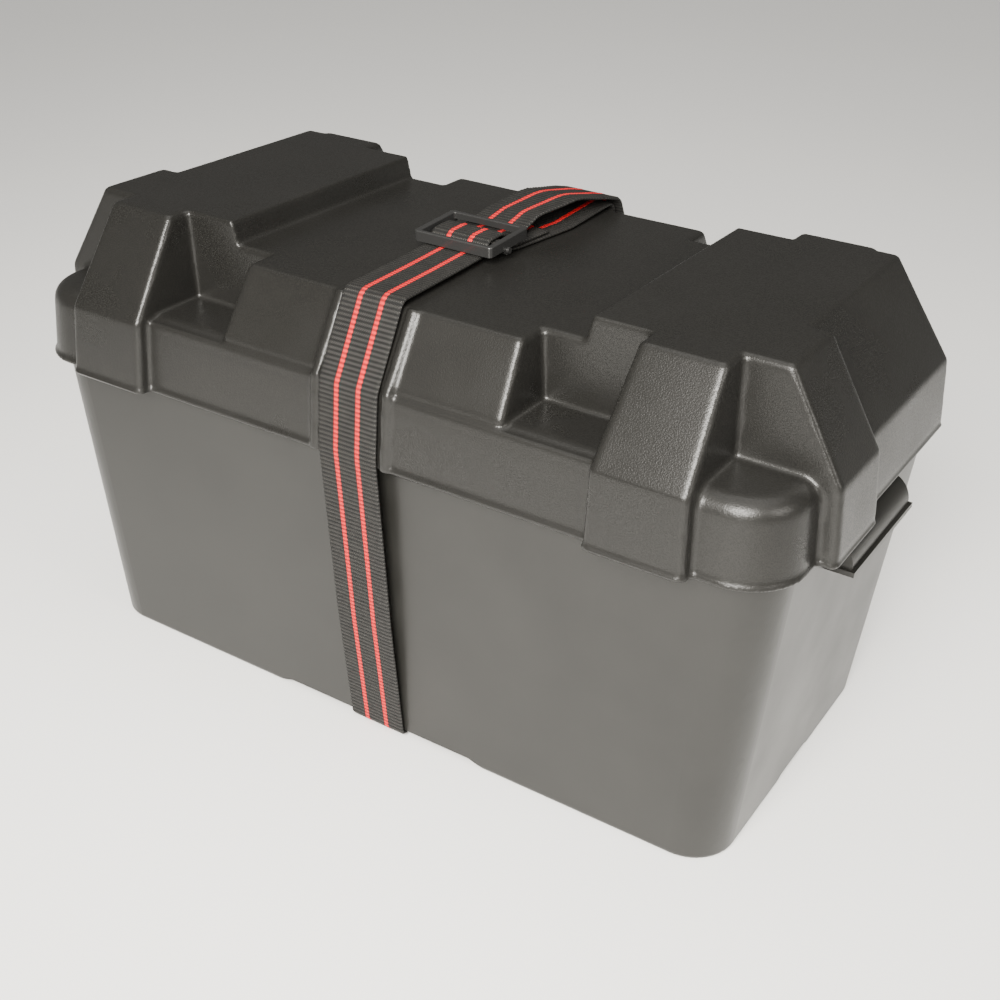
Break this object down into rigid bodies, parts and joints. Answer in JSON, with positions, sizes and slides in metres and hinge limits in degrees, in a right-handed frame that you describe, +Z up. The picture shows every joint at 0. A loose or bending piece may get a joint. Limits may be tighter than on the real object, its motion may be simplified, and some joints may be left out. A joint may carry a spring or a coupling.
{
  "type": "battery box with deep cycle battery",
  "caption": "Black plastic battery box with a strapped-down lid, raised end humps and a slide buckle, holding a deep cycle lead-acid battery.",
  "frame": {"origin": "middle of the footprint, on the surface that the box's feet stand on", "axes": "+X along the length to the right, +Y to the back, +Z up"},
  "size_m": [0.432, 0.2334, 0.2425],
  "materials": {
    "lid_plastic": "pebbled black polypropylene, semi-gloss",
    "box_plastic": "satin black polypropylene",
    "webbing": "ribbed black polypropylene webbing with two red stripes",
    "stitching": "black polyester thread",
    "buckle_plastic": "moulded black acetal",
    "case_plastic": "dark grey polypropylene",
    "cap_plastic": "black polypropylene",
    "seal_rubber": "EPDM rubber",
    "lead": "cast lead, dull grey",
    "positive_plate": "lead dioxide paste, dark brown",
    "negative_plate": "spongy lead paste, grey",
    "separator": "ribbed polyethylene with glass mat",
    "red_seal": "red seal for the positive post",
    "black_seal": "black seal for the negative post",
    "stainless": "stainless steel"
  },
  "bodies": {
    "box": {"box": "box_plastic", "strap_lower": "webbing", "battery_case": "case_plastic", "battery_cover": "case_plastic", "negative_plates": "negative_plate", "positive_plates": "positive_plate", "separators": "separator", "plate_rests": "case_plastic", "positive_straps": "lead", "negative_straps": "lead", "cell_links": "lead", "negative_post": "lead", "positive_post": "lead", "negative_bushing": "black_seal", "positive_bushing": "red_seal", "negative_stud": "stainless", "positive_stud": "stainless", "negative_washer": "stainless", "positive_washer": "stainless"},
    "lid": {"lid": "lid_plastic", "strap_front": "webbing", "strap_tail": "webbing", "strap_rear": "webbing", "strap_stitching": "stitching"},
    "buckle": {"buckle": "buckle_plastic"},
    "vent_cap_left": {"vent_cap_left": "cap_plastic", "vent_seals_left": "seal_rubber"},
    "vent_cap_right": {"vent_cap_right": "cap_plastic", "vent_seals_right": "seal_rubber"},
    "negative_wing_nut": {"negative_wing_nut": "stainless"},
    "positive_wing_nut": {"positive_wing_nut": "stainless"}
  },
  "joints": [
    {"name": "lid_lift", "type": "slide", "parent": "box", "child": "lid", "axis": [0, 0, 1], "range_m": [0, 0.12]},
    {"name": "buckle_tilt", "type": "hinge", "parent": "lid", "child": "buckle", "pos_m": [-0.003, -0.011, 0.2353], "axis": [-1, 0, 0], "range_deg": [0, 6]},
    {"name": "vent_cap_left_pull", "type": "slide", "parent": "box", "child": "vent_cap_left", "axis": [0, 0, 1], "range_m": [0, 0.01]},
    {"name": "vent_cap_right_pull", "type": "slide", "parent": "box", "child": "vent_cap_right", "axis": [0, 0, 1], "range_m": [0, 0.01]},
    {"name": "negative_wing_nut_turn", "type": "hinge", "parent": "box", "child": "negative_wing_nut", "pos_m": [-0.14, -0.058, 0.215], "axis": [0, 0, 1], "continuous": true},
    {"name": "positive_wing_nut_turn", "type": "hinge", "parent": "box", "child": "positive_wing_nut", "pos_m": [0.14, -0.058, 0.215], "axis": [0, 0, 1], "continuous": true}
  ]
}
